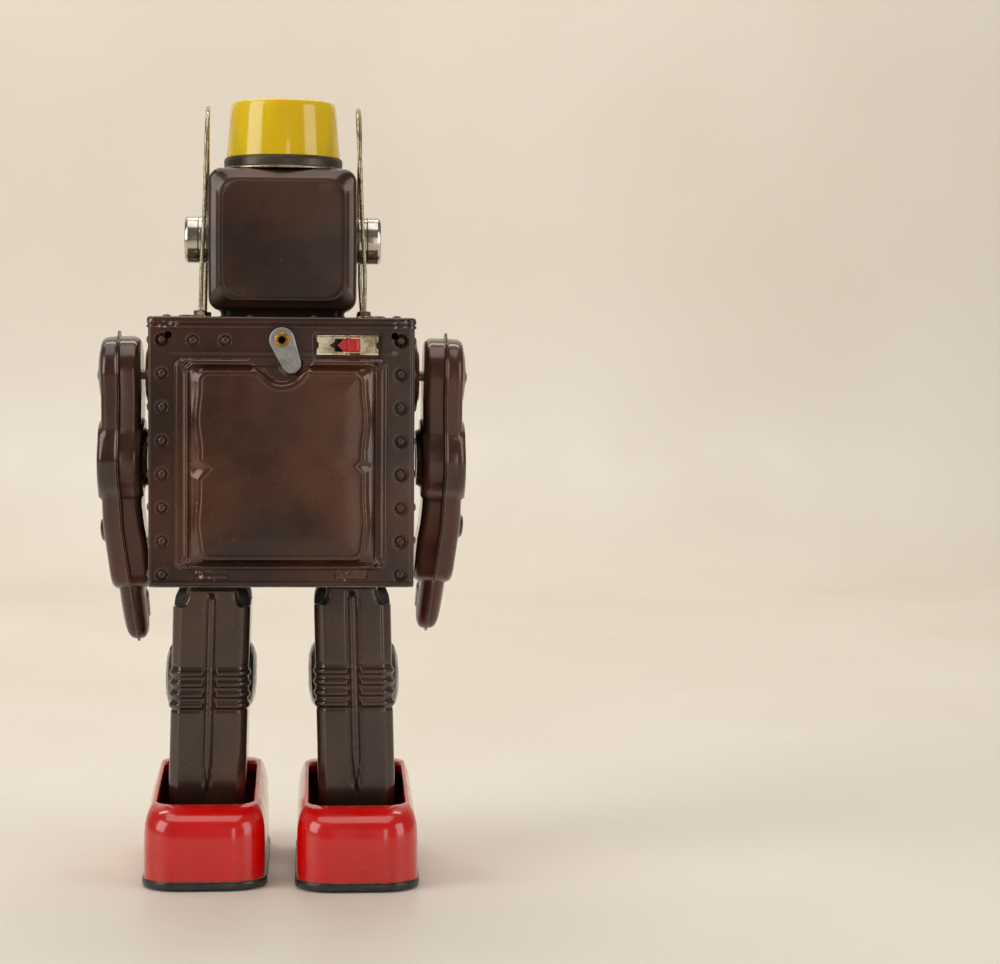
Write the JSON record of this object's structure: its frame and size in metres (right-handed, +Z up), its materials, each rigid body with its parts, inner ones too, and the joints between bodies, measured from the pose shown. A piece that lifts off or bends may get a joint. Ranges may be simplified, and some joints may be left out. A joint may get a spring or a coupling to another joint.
{
  "type": "battery operated tin robot",
  "caption": "Tin walking robot with a box body, swinging arms and legs, shoes on rollers, a lamp dome, wire antennae and a latched battery door in its back.",
  "frame": {"origin": "on the floor, midway between the two shoes", "axes": "+Z up; the robot faces -Y, so its back and battery door face +Y; its left side is +X"},
  "size_m": [0.1462, 0.1026, 0.3003],
  "materials": {
    "brown_lacquer": "glossy metallic brown lacquer on tinplate",
    "red_lacquer": "glossy red enamel on tinplate",
    "black_sole": "satin black paint on a pressed plate",
    "litho_tin": "printed tinplate in orange, cream and gold",
    "cream_tin": "cream white coating on tinplate",
    "grey_tin": "dark plain tinplate",
    "zinc": "zinc plated steel",
    "nickel": "bright nickel plate, lightly worn",
    "brass": "brass, slightly dulled",
    "steel": "drawn steel",
    "yellow_dome": "glossy translucent yellow plastic",
    "orange_lens": "glossy translucent orange plastic",
    "dark_plastic": "dark moulded plastic",
    "red_plastic": "glossy red plastic",
    "lamp_glass": "clear glass lamp",
    "black_rubber": "moulded rubber on a steel axle"
  },
  "bodies": {
    "body": {"body_shell": "brown_lacquer", "back_panel": "brown_lacquer", "top_lid": "brown_lacquer", "base_plate": "grey_tin", "chest_plate": "litho_tin", "side_disc_left": "litho_tin", "side_disc_right": "litho_tin", "battery_box": "cream_tin", "battery_tabs": "brass", "battery_end_contacts": "nickel", "latch_eyelet": "brass", "switch_bezel": "nickel", "switch_case": "dark_plastic", "head_front": "brown_lacquer", "head_back": "brown_lacquer", "eye_lenses": "orange_lens", "mouth_grille": "nickel", "ear_left": "nickel", "ear_right": "nickel", "dome": "yellow_dome", "dome_collar": "dark_plastic", "lamp": "lamp_glass", "antenna_left": "nickel", "antenna_right": "nickel", "antenna_nuts": "brass", "hip_shaft": "steel", "gearbox_frame": "steel", "motor_can": "zinc"},
    "door": {"battery_door": "brown_lacquer"},
    "latch": {"door_latch": "zinc"},
    "switch": {"switch_knob": "red_plastic"},
    "arm_left": {"arm_left_outer": "brown_lacquer", "arm_left_inner": "brown_lacquer", "hand_left": "brown_lacquer", "shoulder_pin_left": "steel"},
    "arm_right": {"arm_right_outer": "brown_lacquer", "arm_right_inner": "brown_lacquer", "hand_right": "brown_lacquer", "shoulder_pin_right": "steel"},
    "leg_left": {"leg_left": "brown_lacquer", "knee_discs_left": "brown_lacquer", "hip_lever_left": "steel"},
    "leg_right": {"leg_right": "brown_lacquer", "knee_discs_right": "brown_lacquer", "hip_lever_right": "steel"},
    "foot_left": {"shoe_left": "red_lacquer", "sole_left": "black_sole", "ankle_bracket_left": "steel"},
    "foot_right": {"shoe_right": "red_lacquer", "sole_right": "black_sole", "ankle_bracket_right": "steel"},
    "rollers_left_front": {"rollers_left_front": "black_rubber"},
    "rollers_left_rear": {"rollers_left_rear": "black_rubber"},
    "rollers_right_front": {"rollers_right_front": "black_rubber"},
    "rollers_right_rear": {"rollers_right_rear": "black_rubber"},
    "crank": {"crankshaft": "brass"},
    "idler_a": {"idler_gear_a": "brass"},
    "idler_b": {"idler_gear_b": "brass"},
    "motor_rotor": {"motor_pinion": "steel"}
  },
  "joints": [
    {"name": "battery_door_hinge", "type": "hinge", "parent": "body", "child": "door", "pos_m": [0, 0.0354, 0.1177], "axis": [-1, 0, 0], "range_deg": [0, 150]},
    {"name": "door_latch_turn", "type": "hinge", "parent": "body", "child": "latch", "pos_m": [0, 0.035, 0.2077], "axis": [0, 1, 0], "range_deg": [-75, 56]},
    {"name": "power_switch_slide", "type": "slide", "parent": "body", "child": "switch", "axis": [1, 0, 0], "range_m": [0, 0.0047]},
    {"name": "hip_left_swing", "type": "hinge", "parent": "body", "child": "leg_left", "pos_m": [0, -0.007, 0.12147], "axis": [1, 0, 0], "range_deg": [-4.2, 6.8]},
    {"name": "hip_right_swing", "type": "hinge", "parent": "body", "child": "leg_right", "pos_m": [0, -0.007, 0.12147], "axis": [1, 0, 0], "range_deg": [-6.8, 4.2]},
    {"name": "ankle_left_tilt", "type": "hinge", "parent": "leg_left", "child": "foot_left", "pos_m": [0.028, -0.00935, 0.018], "axis": [1, 0, 0], "range_deg": [-6.8, 4.2]},
    {"name": "ankle_right_tilt", "type": "hinge", "parent": "leg_right", "child": "foot_right", "pos_m": [-0.028, -0.00465, 0.018], "axis": [1, 0, 0], "range_deg": [-4.2, 6.8]},
    {"name": "arm_left_swing", "type": "hinge", "parent": "body", "child": "arm_left", "pos_m": [0.0627, -0.007, 0.194], "axis": [1, 0, 0], "range_deg": [-13.6, 8.4]},
    {"name": "arm_right_swing", "type": "hinge", "parent": "body", "child": "arm_right", "pos_m": [-0.0627, -0.007, 0.194], "axis": [1, 0, 0], "range_deg": [-8.4, 13.6]},
    {"name": "crankshaft_spin", "type": "hinge", "parent": "body", "child": "crank", "pos_m": [0, -0.007, 0.1535], "axis": [1, 0, 0], "continuous": true},
    {"name": "idler_a_spin", "type": "hinge", "parent": "body", "child": "idler_a", "pos_m": [0, -0.0154, 0.1598], "axis": [1, 0, 0], "continuous": true},
    {"name": "idler_b_spin", "type": "hinge", "parent": "body", "child": "idler_b", "pos_m": [0, -0.0172, 0.17166], "axis": [1, 0, 0], "continuous": true},
    {"name": "motor_spin", "type": "hinge", "parent": "body", "child": "motor_rotor", "pos_m": [0, -0.0172, 0.18366], "axis": [1, 0, 0], "continuous": true},
    {"name": "roller_left_front_spin", "type": "hinge", "parent": "foot_left", "child": "rollers_left_front", "pos_m": [0.029, -0.03335, 0.0045], "axis": [1, 0, 0], "continuous": true},
    {"name": "roller_left_rear_spin", "type": "hinge", "parent": "foot_left", "child": "rollers_left_rear", "pos_m": [0.029, 0.02865, 0.0045], "axis": [1, 0, 0], "continuous": true},
    {"name": "roller_right_front_spin", "type": "hinge", "parent": "foot_right", "child": "rollers_right_front", "pos_m": [-0.029, -0.02865, 0.0045], "axis": [1, 0, 0], "continuous": true},
    {"name": "roller_right_rear_spin", "type": "hinge", "parent": "foot_right", "child": "rollers_right_rear", "pos_m": [-0.029, 0.03335, 0.0045], "axis": [1, 0, 0], "continuous": true}
  ],
  "couplings": [
    {"joint": "hip_right_swing", "follows": "hip_left_swing", "ratio": -1},
    {"joint": "ankle_left_tilt", "follows": "hip_left_swing", "ratio": -1},
    {"joint": "ankle_right_tilt", "follows": "hip_left_swing", "ratio": 1},
    {"joint": "arm_left_swing", "follows": "hip_left_swing", "ratio": -2},
    {"joint": "arm_right_swing", "follows": "hip_left_swing", "ratio": 2},
    {"joint": "idler_a_spin", "follows": "idler_b_spin", "ratio": -0.33333},
    {"joint": "motor_spin", "follows": "idler_b_spin", "ratio": -3},
    {"joint": "crankshaft_spin", "follows": "idler_b_spin", "ratio": 0.13333}
  ]
}
